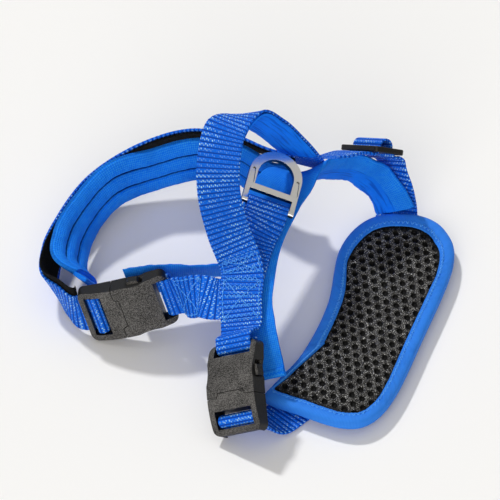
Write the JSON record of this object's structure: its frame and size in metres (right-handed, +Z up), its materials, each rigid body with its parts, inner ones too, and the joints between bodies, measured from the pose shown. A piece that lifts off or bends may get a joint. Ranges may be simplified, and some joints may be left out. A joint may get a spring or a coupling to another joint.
{
  "type": "dog harness",
  "caption": "No-pull dog harness laid open: padded saddle with handle and swinging leash ring, a padded girth loop, a chest loop with a mesh pad, side-release buckles and a strap slider.",
  "frame": {"origin": "on the table, under the middle of the harness's bounding box", "axes": "+Z up from the table, +X from the girth loop to the chest pad, +Y from the chest buckle to the far side, where the slider is"},
  "size_m": [0.2423, 0.2303, 0.1206],
  "materials": {
    "webbing_blue": "ribbed nylon webbing",
    "pad_blue": "brushed padded cloth",
    "lining_blue": "smooth lining cloth",
    "binding_blue": "fine ribbed stretch binding",
    "grip_black": "fuzzy loop tape",
    "mesh_black": "open air mesh",
    "foam_black": "soft foam",
    "buckle_black": "fine grained satin moulding",
    "slider_black": "smooth moulding",
    "ring_nickel": "satin nickel plated casting"
  },
  "bodies": {
    "harness": {"saddle_webbing": "webbing_blue", "ring_strap": "webbing_blue", "girth_arm_webbing": "webbing_blue", "girth_webbing": "webbing_blue", "chest_webbing": "webbing_blue", "neck_webbing": "webbing_blue", "saddle_pad": "pad_blue", "saddle_hem": "pad_blue", "girth_arm_flap": "pad_blue", "girth_pad": "pad_blue", "girth_pad_hem": "pad_blue", "chest_backing": "pad_blue", "handle_lining": "lining_blue", "chest_binding": "binding_blue", "girth_grip_tape": "grip_black", "chest_mesh": "mesh_black", "chest_foam": "foam_black", "girth_plug": "buckle_black", "chest_plug": "buckle_black"},
    "chest_socket": {"chest_socket": "buckle_black"},
    "girth_socket": {"girth_socket": "buckle_black"},
    "chest_latch_left": {"chest_latch_left": "buckle_black"},
    "chest_latch_right": {"chest_latch_right": "buckle_black"},
    "girth_latch_upper": {"girth_latch_upper": "buckle_black"},
    "girth_latch_lower": {"girth_latch_lower": "buckle_black"},
    "leash_ring": {"leash_ring": "ring_nickel"},
    "neck_slider": {"neck_slider": "slider_black"}
  },
  "joints": [
    {"name": "chest_buckle_pull", "type": "slide", "parent": "harness", "child": "chest_socket", "axis": [-0.0602, 0.8321, 0.5514], "range_m": [0, 0.021], "deforming": ["saddle_webbing", "chest_latch_left", "chest_latch_right"]},
    {"name": "girth_buckle_pull", "type": "slide", "parent": "harness", "child": "girth_socket", "axis": [0.9527, 0, 0.304], "range_m": [0, 0.021], "deforming": ["girth_arm_webbing", "girth_latch_upper", "girth_latch_lower"]},
    {"name": "chest_latch_left_press", "type": "hinge", "parent": "harness", "child": "chest_latch_left", "pos_m": [-0.0155, -0.09267, 0.01695], "axis": [0.6093, 0.4681, -0.64], "range_deg": [0, 11], "stiffness_Nm_per_rad": 0.3},
    {"name": "chest_latch_right_press", "type": "hinge", "parent": "harness", "child": "chest_latch_right", "pos_m": [0.00308, -0.09966, 0.02952], "axis": [-0.6093, -0.4681, 0.64], "range_deg": [0, 11], "stiffness_Nm_per_rad": 0.3},
    {"name": "girth_latch_upper_press", "type": "hinge", "parent": "harness", "child": "girth_latch_upper", "pos_m": [-0.08096, -0.01788, 0.03262], "axis": [0.0574, 0.982, -0.1799], "range_deg": [0, 11], "stiffness_Nm_per_rad": 0.3},
    {"name": "girth_latch_lower_press", "type": "hinge", "parent": "harness", "child": "girth_latch_lower", "pos_m": [-0.07394, -0.02232, 0.01063], "axis": [-0.0574, -0.982, 0.1799], "range_deg": [0, 11], "stiffness_Nm_per_rad": 0.3},
    {"name": "leash_ring_swing", "type": "hinge", "parent": "harness", "child": "leash_ring", "pos_m": [0.0116, 0.0255, 0.0615], "axis": [0.9337, -0.1355, -0.3313], "range_deg": [0, 95]},
    {"name": "neck_slider_adjust", "type": "slide", "parent": "harness", "child": "neck_slider", "axis": [0.7618, 0.3709, -0.5312], "range_m": [-0.006, 0.006], "deforming": ["neck_webbing"]}
  ]
}
